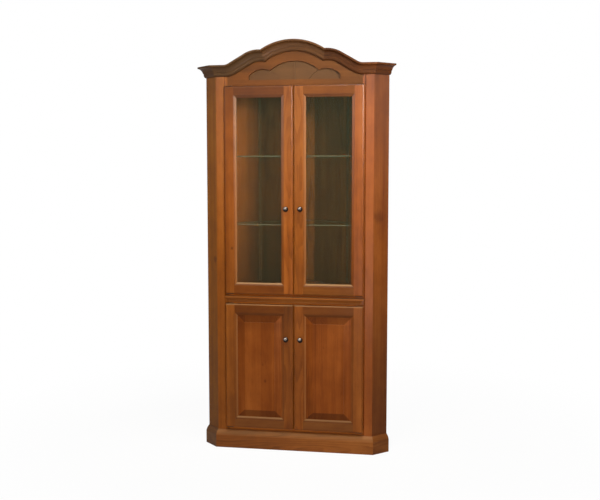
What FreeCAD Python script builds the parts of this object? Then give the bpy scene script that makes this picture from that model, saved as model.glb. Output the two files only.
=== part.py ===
import FreeCAD, Part
import math
import os

# Corner curio cabinet: a face frame across the corner, two returns square to the walls,
# glazed doors over panelled doors, and a crown that rises in three arches.
# Lengths are in millimetres, angles in degrees. While the pieces are made, y = 0 is the
# front of the rails, +Y runs back into the corner and z = 0 is the floor.

Vector = FreeCAD.Vector
os.makedirs("parts", exist_ok=True)

# Overall sizes
overall_height = 2134.0
front_width = 824.0
return_width = 99.0
back_strip_width = 64.0
wall_corner = 90.0

# Carcase boards
rail_thickness = 20.0
stile_proud = 8.0
stile_face_width = 46.0
stile_tongue = 14.0
stile_ease = 5.0
side_thickness = 19.0
back_thickness = 12.0
deck_thickness = 19.0
top_thickness = 12.0
top_drop = 26.0
cut_overrun = 4.0
edge_tolerance = 0.05

# Heights of the doors, from the base up to the waist and from the crown down
base_door_gap = 17.0
lower_door_height = 663.0
waist_under_gap = 8.0
waist_over_gap = 13.0
frieze_height = 104.0
rail_lap = 13.0

# Doors
door_thickness = 25.0
door_back_gap = 2.0
door_side_gap = 2.0
door_meeting_gap = 3.0
door_edge_round = 8.0
door_back_chamfer = 5.0
frame_width = 63.0
frame_rail_width = 60.0
sticking_width = 14.0
sticking_depth = 11.0
sticking_quirk = 1.5
rebate_width = 10.0
glass_thickness = 4.0
glass_edge_gap = 1.0
stop_width = 8.0
stop_depth = 7.0
groove_depth = 9.0
groove_width = 6.0
panel_edge_gap = 1.0
panel_bevel_width = 36.0
panel_step = 2.0
panel_field_back = 4.0

# Pivots
pivot_from_edge = 11.0
pivot_from_back = 14.0
pin_radius = 2.5
pin_gap = 0.05
bush_radius = 4.5
bush_seat_gap = 0.05
bush_length = 14.0
pin_length = 12.0
ear_gap = 1.0
ear_thickness = 2.0
ear_margin = 7.0
leaf_gap = 0.4
leaf_offset = 8.0
leaf_width = 20.0
leaf_height = 11.0

# Knobs
knob_from_centre = 37.5
upper_knob_rise = 447.0
lower_knob_drop = 180.0
knob_rose_radius = 8.0
knob_rose_thickness = 3.0
knob_neck_radius = 4.5
knob_neck_length = 8.0
knob_head_radius = 14.0
knob_head_thickness = 15.0
knob_rim_height = 6.0
knob_under_sag = 1.5
knob_stud_radius = 2.2
knob_stud_length = 16.0
knob_hole_gap = 0.2

# Crown outline: a middle arch, a side arch each way, a slope and a flat run
crown_rise = 123.0
crown_flat_run = 51.0
cusp_drop = 49.0
lobe_radius = 150.0
lobe_apex_offset = 11.0
lobe_turn = 30.0
foot_radius = 60.0
crown_depth = 54.0
crown_projection = 52.0
crown_lip = 9.0
crown_cove_top = 49.0
crown_cove_bottom = 20.0
crown_cove_drop = 33.0
crown_cove_sag = 6.0
crown_step = 4.0
crown_ovolo_foot = 4.0
crown_ovolo_sag = 3.5
frieze_top_drop = 10.0

# Three-lobed recess in the frieze
recess_sill = 31.0
recess_height = 94.0
recess_half_width = 238.0
recess_lobe_run = 73.0
recess_lobe_lap = 38.0
recess_notch_rise = 47.0
recess_lobe_radius = 100.0
recess_panel_thickness = 8.0
recess_panel_margin = 24.0
recess_field_rise = 5.0
recess_field_gap = 1.0
recess_bead_width = 8.0
recess_bead_rise = 5.0

# Waist moulding and base
waist_height = 32.0
waist_nose = 8.0
waist_projection = 24.0
waist_cove_top = 20.0
waist_foot = 6.0
waist_cove_sag = 4.0
waist_end_gap = 0.3
base_height = 95.0
base_projection = 19.0
base_lip = 2.0
base_lip_height = 2.0
base_fascia_height = 66.0
base_round_sag = 2.5

# Shelves
upper_shelf_share = 0.6686
lower_shelf_share = 0.3286
cupboard_shelf_share = 0.452
glass_shelf_thickness = 6.0
wood_shelf_thickness = 16.0
shelf_side_gap = 5.0
shelf_front_gap = 12.0
standard_width = 16.0
standard_thickness = 3.0
standard_end_gap = 24.0
clip_reach = 14.0
clip_thickness = 2.0
clip_leg = 12.0
shelf_pin_radius = 3.0
shelf_pin_reach = 12.0
shelf_pin_depth = 9.0

# Worked out from the sizes above
return_turn = wall_corner / 2
half_front = front_width / 2
return_run = return_width * math.cos(math.radians(return_turn))
root_two = math.sqrt(2)
mitre_share = math.tan(math.radians(return_turn / 2))
stile_inner = half_front - stile_face_width
opening_half = stile_inner - stile_tongue
wall_x = half_front + return_run
wall_y = return_run - stile_proud
corner_y = wall_x + wall_y
back_y = corner_y - back_strip_width / 2
crown_reach = stile_proud + crown_projection
depth_shift = (crown_reach - back_y) / 2
reach = 2 * overall_height
lower_door_bottom = base_height + base_door_gap
lower_door_top = lower_door_bottom + lower_door_height
waist_bottom = lower_door_top + waist_under_gap
waist_top = waist_bottom + waist_height
upper_door_bottom = waist_top + waist_over_gap
crown_flat_height = overall_height - crown_rise
upper_door_top = crown_flat_height - frieze_height
deck_top = upper_door_bottom + rail_lap
floor_top = lower_door_bottom + rail_lap
head_bottom = upper_door_top - rail_lap
middle_rail_bottom = lower_door_top - rail_lap
top_panel_top = crown_flat_height - top_drop
display_height = head_bottom - deck_top
upper_shelf_height = deck_top + display_height * upper_shelf_share
lower_shelf_height = deck_top + display_height * lower_shelf_share
cupboard_shelf_height = floor_top + (deck_top - deck_thickness - floor_top) * cupboard_shelf_share
upper_knob_height = upper_door_bottom + upper_knob_rise
lower_knob_height = lower_door_top - lower_knob_drop
leaf_thickness = door_back_gap - leaf_gap
door_front = -(door_back_gap + door_thickness)
door_outer = stile_inner - door_side_gap
door_inner = door_meeting_gap / 2


def export(name, shape):
    moved = shape.copy()
    moved.translate(Vector(0, depth_shift, 0))
    moved.exportStep("parts/" + name + ".step")


def mirrored(shape):
    return shape.mirror(Vector(0, 0, 0), Vector(1, 0, 0))


def export_pair(name, mirror_name, shape):
    export(name, shape)
    export(mirror_name, mirrored(shape))


def face_of(points):
    """Face inside a closed outline: a point ends a straight run, a (middle, end) pair an arc."""
    edges = []
    here = points[0]
    for item in points[1:] + [points[0]]:
        if isinstance(item, tuple):
            middle, end = item
            edges.append(Part.Arc(here, middle, end).toShape())
            here = end
        elif (item - here).Length > 0:
            edges.append(Part.makeLine(here, item))
            here = item
    return Part.Face(Part.Wire(edges))


def plan_prism(points, bottom, top):
    face = face_of([Vector(x, y, bottom) for x, y in points])
    return face.extrude(Vector(0, 0, top - bottom))


def half_space(point, direction):
    return Part.makeCylinder(reach, reach, point, direction)


def bulge(start, end, sag):
    """Middle point of an arc that stands sag to the left of the line from start to end."""
    run_a = end[0] - start[0]
    run_b = end[1] - start[1]
    length = math.hypot(run_a, run_b)
    return ((start[0] + end[0]) / 2 - sag * run_b / length, (start[1] + end[1]) / 2 + sag * run_a / length)


def box(x0, x1, y0, y1, z0, z1):
    return Part.makeBox(x1 - x0, y1 - y0, z1 - z0, Vector(x0, y0, z0))


def fused(shapes):
    return shapes[0].multiFuse(shapes[1:]).removeSplitter() if len(shapes) > 1 else shapes[0]


def section_face(profile, origin, outward, upward):
    """Face of a moulding's section: pairs (out, up), and (middle, end) pairs of pairs for arcs."""
    def place(pair):
        return origin + outward * pair[0] + upward * pair[1]
    items = []
    for entry in profile:
        if isinstance(entry[0], tuple):
            items.append((place(entry[0]), place(entry[1])))
        else:
            items.append(place(entry))
    return face_of(items)


def deepened(profile, shift):
    """The same section, moved outward by shift, with its back left where it was."""
    moved = []
    for entry in profile:
        if isinstance(entry[0], tuple):
            moved.append(tuple((out + shift, up) for out, up in entry))
        else:
            out, up = entry
            moved.append((out + shift if out > 0 else out, up))
    return moved


# Carcase
def inside_outline(front_y, side_offset, back_offset):
    side_sum = side_offset * root_two - half_front - stile_proud
    back_sum = corner_y - back_offset * root_two
    strip_y = back_y - back_offset
    left = [
        (side_sum - front_y, front_y),
        ((side_sum - back_sum) / 2, (side_sum + back_sum) / 2),
        (strip_y - back_sum, strip_y),
    ]
    return left + [(-x, y) for x, y in reversed(left)]


def make_stile():
    return plan_prism([
        (-half_front, -stile_proud),
        (-stile_inner - stile_ease, -stile_proud),
        (-stile_inner, stile_ease - stile_proud),
        (-stile_inner, 0),
        (-opening_half, 0),
        (-opening_half, rail_thickness),
        (-half_front + (rail_thickness + stile_proud) * mitre_share, rail_thickness),
    ], 0, crown_flat_height)


def make_side_panel():
    step = side_thickness / root_two
    return plan_prism([
        (-half_front, -stile_proud),
        (-half_front + side_thickness * mitre_share, side_thickness - stile_proud),
        (-wall_x + step, wall_y + step),
        (-wall_x, wall_y),
    ], 0, crown_flat_height)


def make_back_panel():
    step = side_thickness / root_two
    half_strip = back_strip_width / 2
    return plan_prism([
        (-wall_x + step, wall_y + step),
        (-half_strip, back_y),
        (-half_strip + back_thickness * mitre_share, back_y - back_thickness),
        inside_outline(rail_thickness, side_thickness, back_thickness)[1],
    ], 0, top_panel_top)


def make_back_strip():
    half_strip = back_strip_width / 2
    half_inner = half_strip - back_thickness * mitre_share
    return plan_prism([
        (-half_strip, back_y),
        (half_strip, back_y),
        (half_inner, back_y - back_thickness),
        (-half_inner, back_y - back_thickness),
    ], 0, top_panel_top)


def make_deck(top, thickness):
    return plan_prism(inside_outline(rail_thickness, side_thickness, back_thickness), top - thickness, top)


# Crown path: centres, radii and joints of its arcs, in the plane of the front
turn_sine = math.sin(math.radians(lobe_turn))
turn_cosine = math.cos(math.radians(lobe_turn))
lobe_centre_z = overall_height - cusp_drop - math.sqrt(lobe_radius ** 2 - lobe_apex_offset ** 2)
slope_fall = lobe_centre_z + (lobe_radius + foot_radius) * turn_cosine - foot_radius - crown_flat_height
slope_length = slope_fall / turn_sine
foot_centre = (half_front - crown_flat_run, crown_flat_height + foot_radius)
slope_run = (lobe_radius + foot_radius) * turn_sine + slope_length * turn_cosine
lobe_centre = (foot_centre[0] - slope_run, lobe_centre_z)
cusp_half_span = lobe_centre[0] - lobe_apex_offset
middle_radius = (cusp_half_span ** 2 + cusp_drop ** 2) / (2 * cusp_drop)
middle_centre = (0, overall_height - middle_radius)


def cusp_at(drop):
    """Where the middle and side arches meet, drop below the crown's top edge."""
    radius_a = middle_radius - drop
    radius_b = lobe_radius - drop
    run_x = lobe_centre[0] - middle_centre[0]
    run_z = lobe_centre[1] - middle_centre[1]
    span = math.hypot(run_x, run_z)
    along = (radius_a ** 2 - radius_b ** 2 + span ** 2) / (2 * span)
    aside = math.sqrt(radius_a ** 2 - along ** 2)
    return (
        middle_centre[0] + (along * run_x - aside * run_z) / span,
        middle_centre[1] + (along * run_z + aside * run_x) / span,
    )


def on_circle(centre, radius, degrees):
    angle = math.radians(degrees)
    return (centre[0] + radius * math.sin(angle), centre[1] + radius * math.cos(angle))


def angle_on(centre, point):
    return math.degrees(math.atan2(point[0] - centre[0], point[1] - centre[1]))


def crown_outline_face(drop, bottom, y):
    """Region under the crown's path, drop below its top edge, down to the height bottom."""
    def at(pair):
        return Vector(pair[0], y, pair[1])

    def arc(centre, radius, start, end):
        return (at(on_circle(centre, radius, (start + end) / 2)), at(on_circle(centre, radius, end)))

    cusp = cusp_at(drop)
    flip = (-cusp[0], cusp[1])
    flat = crown_flat_height - drop
    wide = foot_radius + drop
    small = lobe_radius - drop
    lobe_angle = angle_on(lobe_centre, cusp)
    middle_angle = angle_on(middle_centre, cusp)
    foot_flip = (-foot_centre[0], foot_centre[1])
    lobe_flip = (-lobe_centre[0], lobe_centre[1])
    return face_of([
        at((-half_front, bottom)),
        at((half_front, bottom)),
        at((half_front, flat)),
        at((foot_centre[0], flat)),
        arc(foot_centre, wide, 180, 180 + lobe_turn),
        at(on_circle(lobe_centre, small, lobe_turn)),
        arc(lobe_centre, small, lobe_turn, lobe_angle),
        arc(middle_centre, middle_radius - drop, middle_angle, -middle_angle),
        arc(lobe_flip, small, -lobe_angle, -lobe_turn),
        at(on_circle(foot_flip, wide, 180 - lobe_turn)),
        arc(foot_flip, wide, 180 - lobe_turn, 180),
        at((-half_front, flat)),
    ])


crown_profile = [
    (0, 0),
    (crown_projection, 0),
    (crown_projection, -crown_lip),
    (crown_cove_top, -crown_lip),
    (
        bulge((crown_cove_top, -crown_lip), (crown_cove_bottom, -crown_cove_drop), -crown_cove_sag),
        (crown_cove_bottom, -crown_cove_drop),
    ),
    (crown_cove_bottom - crown_step, -crown_cove_drop),
    (crown_cove_bottom - crown_step, -crown_cove_drop - crown_step),
    (
        bulge(
            (crown_cove_bottom - crown_step, -crown_cove_drop - crown_step),
            (crown_ovolo_foot, -crown_depth),
            crown_ovolo_sag,
        ),
        (crown_ovolo_foot, -crown_depth),
    ),
    (0, -crown_depth),
]
y_axis = Vector(0, 1, 0)
forward = Vector(0, -1, 0)
upward = Vector(0, 0, 1)
corner_normal = Vector(math.cos(math.radians(return_turn / 2)), math.sin(math.radians(return_turn / 2)), 0)
right_corner = Vector(half_front, -stile_proud, 0)


def cusp_cut(keep_middle):
    """Everything on one side of the mitre at the right-hand cusp."""
    top = cusp_at(0)
    low = cusp_at(crown_depth)
    line = Vector(top[0] - low[0], 0, top[1] - low[1])
    across = line.cross(y_axis)
    if across.x < 0:
        across = across * -1
    side = across if keep_middle else across * -1
    return half_space(Vector(top[0], 0, top[1]), side)


def turned_section(centre, radius, degrees):
    pole = Vector(centre[0], 0, centre[1])
    face = section_face(deepened(crown_profile, stile_proud), pole + upward * radius, forward, upward)
    face.rotate(pole, y_axis, degrees)
    return face


def make_crown_middle():
    spare_turn = lobe_turn / 2
    half_turn = angle_on(middle_centre, cusp_at(0)) + spare_turn
    face = turned_section(middle_centre, middle_radius, -half_turn)
    arch = face.revolve(Vector(middle_centre[0], 0, middle_centre[1]), y_axis, 2 * half_turn)
    cutter = cusp_cut(True)
    return arch.cut(cutter).cut(mirrored(cutter))


def make_crown_lobe(stile):
    pole = Vector(lobe_centre[0], 0, lobe_centre[1])
    face = turned_section(lobe_centre, lobe_radius, -lobe_turn)
    arch = face.revolve(pole, y_axis, 2 * lobe_turn).cut(cusp_cut(False))
    slope = turned_section(lobe_centre, lobe_radius, lobe_turn).extrude(
        Vector(slope_length * turn_cosine, 0, -slope_length * turn_sine))
    foot_pole = Vector(foot_centre[0], 0, foot_centre[1])
    foot_face = section_face(
        deepened(crown_profile, stile_proud), foot_pole - upward * foot_radius, forward, upward)
    foot = foot_face.revolve(foot_pole, y_axis, lobe_turn)
    run = foot_face.extrude(Vector(half_front + crown_projection - foot_centre[0], 0, 0))
    run = run.cut(half_space(right_corner, corner_normal))
    return fused([arch, slope, foot, run]).cut(stile)


def return_run_of(profile, height):
    """A straight moulding on the right-hand return, mitred at the front, square at the wall."""
    along = Vector(1, 1, 0) / root_two
    outward = Vector(1, -1, 0) / root_two
    start = right_corner + upward * height
    face = section_face(profile, start - along * crown_projection, outward, upward)
    run = face.extrude(along * (crown_projection + return_width))
    return run.cut(half_space(right_corner - upward * reach / 2, corner_normal * -1))


# Frieze
recess_bottom = upper_door_top + recess_sill
recess_peak = recess_bottom + recess_height
recess_notch_z = recess_bottom + recess_notch_rise
recess_lobe_x = recess_half_width - recess_lobe_run
recess_notch_x = recess_lobe_x - recess_lobe_lap
recess_lobe_z = recess_notch_z - math.sqrt(recess_lobe_radius ** 2 - (recess_lobe_x - recess_notch_x) ** 2)
recess_rise = recess_peak - recess_notch_z
recess_middle_radius = (recess_notch_x ** 2 + recess_rise ** 2) / (2 * recess_rise)
recess_middle_z = recess_peak - recess_middle_radius


def make_recess_cutter():
    back = rail_thickness + cut_overrun

    def at(x, z):
        return Vector(x, back, z)

    shoulder = recess_lobe_z + math.sqrt(recess_lobe_radius ** 2 - (recess_half_width - recess_lobe_x) ** 2)
    lobe_top = recess_lobe_z + recess_lobe_radius
    face = face_of([
        at(-recess_half_width, recess_bottom),
        at(recess_half_width, recess_bottom),
        at(recess_half_width, shoulder),
        (at(recess_lobe_x, lobe_top), at(recess_notch_x, recess_notch_z)),
        (at(0, recess_peak), at(-recess_notch_x, recess_notch_z)),
        (at(-recess_lobe_x, lobe_top), at(-recess_half_width, shoulder)),
    ])
    return face.extrude(forward * (back + cut_overrun))


def make_frieze_board():
    region = crown_outline_face(frieze_top_drop, head_bottom, 0).extrude(y_axis * rail_thickness)
    span = box(-opening_half, opening_half, 0, rail_thickness, head_bottom, overall_height)
    return region.common(span).cut(make_recess_cutter())


def make_frieze_panel():
    front = rail_thickness
    back = front + recess_panel_thickness
    side = recess_half_width + recess_panel_margin
    plate = box(
        -side, side, front, back, recess_bottom - recess_panel_margin, recess_peak + frieze_top_drop)
    low = recess_bottom + recess_field_gap

    def disc(x, z, radius):
        height = recess_field_rise + recess_bead_rise + cut_overrun
        return Part.makeCylinder(radius, height, Vector(x, front, z), forward)

    middle = disc(0, recess_middle_z, recess_middle_radius - recess_field_gap)
    field = box(-side, side, front - recess_field_rise, front, low, recess_peak).common(middle)
    for x in (-recess_lobe_x, recess_lobe_x):
        field = field.cut(disc(x, recess_lobe_z, recess_lobe_radius + recess_field_gap))
    half_bead = recess_bead_width / 2
    bead_front = front - recess_field_rise - recess_bead_rise
    bead = box(-half_bead, half_bead, bead_front, front, low, recess_peak).common(middle)
    return fused([plate, field, bead])


# Waist moulding and base
def waist_profile(shift):
    """Section of the waist moulding; shift slides it outward."""
    cove_start = (waist_foot + shift, waist_bottom)
    cove_end = (waist_cove_top + shift, waist_top - waist_nose)
    return [
        (0, waist_bottom),
        cove_start,
        (bulge(cove_start, cove_end, waist_cove_sag), cove_end),
        (waist_projection + shift, waist_top - waist_nose),
        (waist_projection + shift, waist_top),
        (0, waist_top),
    ]


def make_waist_moulding():
    half_length = stile_inner - waist_end_gap
    start = Vector(-half_length, 0, 0)
    front = section_face(waist_profile(0), start, forward, upward).extrude(Vector(2 * half_length, 0, 0))
    end_section = waist_profile(half_length - waist_projection)
    ends = section_face(end_section, Vector(0, 0, 0), Vector(1, 0, 0), upward)
    half = ends.extrude(forward * waist_projection)
    return front.common(fused([half, mirrored(half)]))


base_profile = [
    (0, 0),
    (base_projection, 0),
    (base_projection, base_fascia_height),
    (
        bulge(
            (base_projection, base_fascia_height),
            (base_lip, base_height - base_lip_height),
            -base_round_sag,
        ),
        (base_lip, base_height - base_lip_height),
    ),
    (base_lip, base_height),
    (0, base_height),
]


def make_base_front(stile):
    half_length = half_front + base_projection
    face = section_face(
        deepened(base_profile, stile_proud), Vector(-half_length, 0, 0), forward, upward)
    run = face.extrude(Vector(2 * half_length, 0, 0))
    cutter = half_space(right_corner - upward * reach / 2, corner_normal)
    run = run.cut(cutter).cut(mirrored(cutter))
    return run.cut(stile).cut(mirrored(stile))


# Shelves and what carries them
def wall_places():
    """Middle, run and inward direction of the left back panel and the left return, inside."""
    outline = inside_outline(rail_thickness, side_thickness, back_thickness)
    places = []
    for start, end, inward in (
        (outline[1], outline[2], Vector(1, -1, 0) / root_two),
        (outline[0], outline[1], Vector(1, 1, 0) / root_two),
    ):
        first = Vector(start[0], start[1], 0)
        last = Vector(end[0], end[1], 0)
        along = (last - first).normalize()
        places.append(((first + last) / 2, along, inward))
    return places


def wall_block(place, half_width, near, far, bottom, top):
    middle, along, inward = place
    corners = []
    for side, depth in ((-1, near), (1, near), (1, far), (-1, far)):
        point = middle + along * (half_width * side) + inward * depth
        corners.append((point.x, point.y))
    return plan_prism(corners, bottom, top)


def make_standards():
    strips = []
    for place in wall_places():
        strip = wall_block(
            place, standard_width / 2, 0, standard_thickness,
            deck_top + standard_end_gap, head_bottom - standard_end_gap)
        strips += [strip, mirrored(strip)]
    return Part.makeCompound(strips)


def make_shelf_supports():
    supports = []
    for height in (upper_shelf_height, lower_shelf_height):
        for place in wall_places():
            near = standard_thickness
            leg = wall_block(
                place, standard_width / 2, near, near + clip_thickness, height - clip_leg, height)
            tab = wall_block(
                place, standard_width / 2, near, near + clip_reach, height - clip_thickness, height)
            clip = fused([leg, tab])
            supports += [clip, mirrored(clip)]
    for pin in shelf_pins(shelf_pin_radius, shelf_pin_depth):
        supports += [pin, mirrored(pin)]
    return Part.makeCompound(supports)


def shelf_pins(radius, depth):
    """Left-hand pins of the cupboard shelf, sunk by depth into the boards that hold them."""
    pins = []
    for middle, along, inward in wall_places():
        start = middle - inward * depth + upward * (cupboard_shelf_height - shelf_pin_radius)
        pins.append(Part.makeCylinder(radius, depth + shelf_pin_reach, start, inward))
    return pins


def make_shelf(height, thickness):
    outline = inside_outline(
        rail_thickness + shelf_front_gap, side_thickness + shelf_side_gap, back_thickness + shelf_side_gap)
    return plan_prism(outline, height, height + thickness)


# Doors, made on the left and mirrored to the right
class DoorFrame:
    """Members of one left-hand door between the heights bottom and top."""

    def __init__(self, bottom, top, glazed):
        self.bottom = bottom
        self.top = top
        self.glazed = glazed
        self.outer = -door_outer
        self.inner = -door_inner
        self.back = -door_back_gap
        self.pivot_x = self.outer + pivot_from_edge
        self.pivot_y = self.back - pivot_from_back

    def envelope(self):
        slab = box(self.outer, self.inner, door_front, self.back, self.bottom, self.top)
        front_edges = [edge for edge in slab.Edges if edge.BoundBox.YMax < (door_front + self.back) / 2]
        slab = slab.makeFillet(door_edge_round, front_edges)
        hinge_edges = [
            edge for edge in slab.Edges
            if edge.BoundBox.YMin > self.back - edge_tolerance
            and edge.BoundBox.XMax < self.outer + edge_tolerance
        ]
        return slab.makeChamfer(door_back_chamfer, hinge_edges)

    def profile(self, width):
        """Section of a frame member: (from the outer edge, from the front)."""
        front = [
            (0, 0),
            (width - sticking_width, 0),
            (width - sticking_width, sticking_quirk),
            (width, sticking_depth - sticking_quirk),
            (width, sticking_depth),
        ]
        if self.glazed:
            return front + [
                (width - rebate_width, sticking_depth),
                (width - rebate_width, door_thickness),
                (0, door_thickness),
            ]
        groove_back = sticking_depth + groove_width
        return front + [
            (width - groove_depth, sticking_depth),
            (width - groove_depth, groove_back),
            (width, groove_back),
            (width, door_thickness),
            (0, door_thickness),
        ]

    def stile(self, edge, inward):
        origin = Vector(edge, door_front, self.bottom)
        face = section_face(self.profile(frame_width), origin, Vector(inward, 0, 0), y_axis)
        return face.extrude(upward * (self.top - self.bottom))

    def rail(self, edge, inward):
        start = self.outer + frame_width / 2
        end = self.inner - frame_width / 2
        origin = Vector(start, door_front, edge)
        face = section_face(self.profile(frame_rail_width), origin, Vector(0, 0, inward), y_axis)
        return face.extrude(Vector(end - start, 0, 0))

    def bores(self, radius):
        spots = []
        for start in (self.bottom, self.top - bush_length):
            spots.append(Part.makeCylinder(radius, bush_length, Vector(self.pivot_x, self.pivot_y, start)))
        return Part.makeCompound(spots)

    def knob(self, height):
        axis = Vector(-knob_from_centre, door_front, height)
        neck_end = knob_rose_thickness + knob_neck_length
        rim = neck_end + knob_rim_height
        top = neck_end + knob_head_thickness
        under = bulge((knob_neck_radius, neck_end), (knob_head_radius, rim), -knob_under_sag)
        dome_radius = (knob_head_radius ** 2 + (top - rim) ** 2) / (2 * (top - rim))
        dome_angle = math.asin(knob_head_radius / dome_radius) / 2
        dome = (dome_radius * math.sin(dome_angle), top - dome_radius * (1 - math.cos(dome_angle)))
        face = section_face([
            (0, -knob_stud_length),
            (knob_stud_radius, -knob_stud_length),
            (knob_stud_radius, 0),
            (knob_rose_radius, 0),
            (knob_rose_radius, knob_rose_thickness),
            (knob_neck_radius, knob_rose_thickness),
            (knob_neck_radius, neck_end),
            (under, (knob_head_radius, rim)),
            (dome, (0, top)),
        ], axis, Vector(1, 0, 0), forward)
        return face.revolve(axis, y_axis, 360)

    def knob_bore(self, height):
        start = Vector(-knob_from_centre, door_front - cut_overrun, height)
        depth = knob_stud_length + knob_hole_gap + cut_overrun
        return Part.makeCylinder(knob_stud_radius + knob_hole_gap, depth, start, y_axis)

    def glass(self):
        inset = rebate_width - glass_edge_gap
        front = door_front + sticking_depth
        return box(
            self.outer + frame_width - inset, self.inner - frame_width + inset,
            front, front + glass_thickness,
            self.bottom + frame_rail_width - inset, self.top - frame_rail_width + inset)

    def glass_stops(self):
        left = self.outer + frame_width - rebate_width
        right = self.inner - frame_width + rebate_width
        low = self.bottom + frame_rail_width - rebate_width
        high = self.top - frame_rail_width + rebate_width
        front = door_front + sticking_depth + glass_thickness
        back = front + stop_depth
        return Part.makeCompound([
            box(left, left + stop_width, front, back, low, high),
            box(right - stop_width, right, front, back, low, high),
            box(left + stop_width, right - stop_width, front, back, low, low + stop_width),
            box(left + stop_width, right - stop_width, front, back, high - stop_width, high),
        ])

    def panel_ring(self, inset, depth):
        y = door_front + depth
        left = self.outer + frame_width + inset
        right = self.inner - frame_width - inset
        low = self.bottom + frame_rail_width + inset
        high = self.top - frame_rail_width - inset
        corners = [(left, low), (right, low), (right, high), (left, high)]
        points = [Vector(x, y, z) for x, z in corners]
        return Part.makePolygon(points + points[:1])

    def raised_panel(self):
        tongue = panel_edge_gap - groove_depth
        groove_back = sticking_depth + groove_width
        plate = Part.Face(self.panel_ring(tongue, sticking_depth)).extrude(y_axis * groove_width)
        bevel = Part.makeLoft([
            self.panel_ring(panel_edge_gap, sticking_depth),
            self.panel_ring(panel_bevel_width, panel_field_back + panel_step),
        ], True, True)
        field = Part.Face(self.panel_ring(panel_bevel_width, panel_field_back)).extrude(
            y_axis * (groove_back - panel_field_back))
        return fused([plate, bevel, field])

    def brackets(self):
        pieces = []
        leaf_start = self.pivot_x + leaf_offset
        leaf_end = leaf_start + leaf_width
        for edge, away in ((self.bottom, -1), (self.top, 1)):
            near = edge + away * ear_gap
            far = near + away * ear_thickness
            inner = near - away * leaf_height
            low = min(near, far)
            pivot = Vector(self.pivot_x, self.pivot_y, low)
            ear = fused([
                Part.makeCylinder(ear_margin, ear_thickness, pivot),
                box(self.pivot_x, leaf_end, self.pivot_y - ear_margin, 0, low, low + ear_thickness),
            ])
            leaf = box(leaf_start, leaf_end, -leaf_thickness, 0, min(inner, far), max(inner, far))
            pin = Part.makeCylinder(
                pin_radius, pin_length + ear_thickness, Vector(self.pivot_x, self.pivot_y, far),
                upward * -away)
            pieces.append(fused([ear, leaf, pin]))
        return pieces


def export_door(level, frame, knob_height):
    shell = frame.envelope()
    hinge_stile = frame.stile(frame.outer, 1).common(shell)
    meeting_stile = frame.stile(frame.inner, -1).common(shell)
    rails = []
    for edge, inward in ((frame.top, -1), (frame.bottom, 1)):
        rails.append(frame.rail(edge, inward).common(shell).cut(hinge_stile).cut(meeting_stile))
    bores = frame.bores(bush_radius + bush_seat_gap)
    bushes = frame.bores(bush_radius).cut(frame.bores(pin_radius + pin_gap))
    pieces = {
        "hinge_stile": hinge_stile.cut(bores),
        "meeting_stile": meeting_stile.cut(frame.knob_bore(knob_height)),
        "top_rail": rails[0],
        "bottom_rail": rails[1],
        "pivot_bushes": bushes,
        "knob": frame.knob(knob_height),
    }
    if frame.glazed:
        pieces["glass"] = frame.glass()
        pieces["glass_stops"] = frame.glass_stops()
    else:
        pieces["raised_panel"] = frame.raised_panel()
    for name, shape in pieces.items():
        export_pair("left_" + level + "_door_" + name, "right_" + level + "_door_" + name, shape)


# Build
stile = make_stile()
export_pair("left_stile", "right_stile", stile)
pin_holes = Part.makeCompound(shelf_pins(shelf_pin_radius + pin_gap, shelf_pin_depth))
export_pair("left_side_panel", "right_side_panel", make_side_panel().cut(pin_holes))
export_pair("left_back_panel", "right_back_panel", make_back_panel().cut(pin_holes))
export("back_corner_strip", make_back_strip())
export("middle_rail", box(-opening_half, opening_half, 0, rail_thickness, middle_rail_bottom, deck_top))
export("bottom_rail", box(-opening_half, opening_half, 0, rail_thickness, 0, floor_top))
export("middle_deck", make_deck(deck_top, deck_thickness))
export("bottom_deck", make_deck(floor_top, deck_thickness))
frieze_panel = make_frieze_panel()
export("frieze_board", make_frieze_board())
export("frieze_panel", frieze_panel)
export("top_panel", make_deck(top_panel_top, top_thickness).cut(frieze_panel))

export("crown_middle_arch", make_crown_middle())
export_pair("crown_right_arch", "crown_left_arch", make_crown_lobe(mirrored(stile)))
export_pair("crown_right_return", "crown_left_return", return_run_of(crown_profile, crown_flat_height))
export("waist_moulding", make_waist_moulding())
export("base_front", make_base_front(stile))
export_pair("base_right_return", "base_left_return", return_run_of(base_profile, 0))

export("upper_glass_shelf", make_shelf(upper_shelf_height, glass_shelf_thickness))
export("lower_glass_shelf", make_shelf(lower_shelf_height, glass_shelf_thickness))
export("cupboard_shelf", make_shelf(cupboard_shelf_height, wood_shelf_thickness))
export("shelf_standards", make_standards())
export("shelf_supports", make_shelf_supports())

upper_door = DoorFrame(upper_door_bottom, upper_door_top, True)
lower_door = DoorFrame(lower_door_bottom, lower_door_top, False)
export_door("upper", upper_door, upper_knob_height)
export_door("lower", lower_door, lower_knob_height)
brackets = upper_door.brackets() + lower_door.brackets()
export("hinge_brackets", Part.makeCompound(brackets + [mirrored(bracket) for bracket in brackets]))
print("box", 2 * (wall_x + crown_projection / root_two), crown_reach + back_y, overall_height)
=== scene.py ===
import math

import bmesh
import bpy
from mathutils import Matrix, Vector


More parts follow.
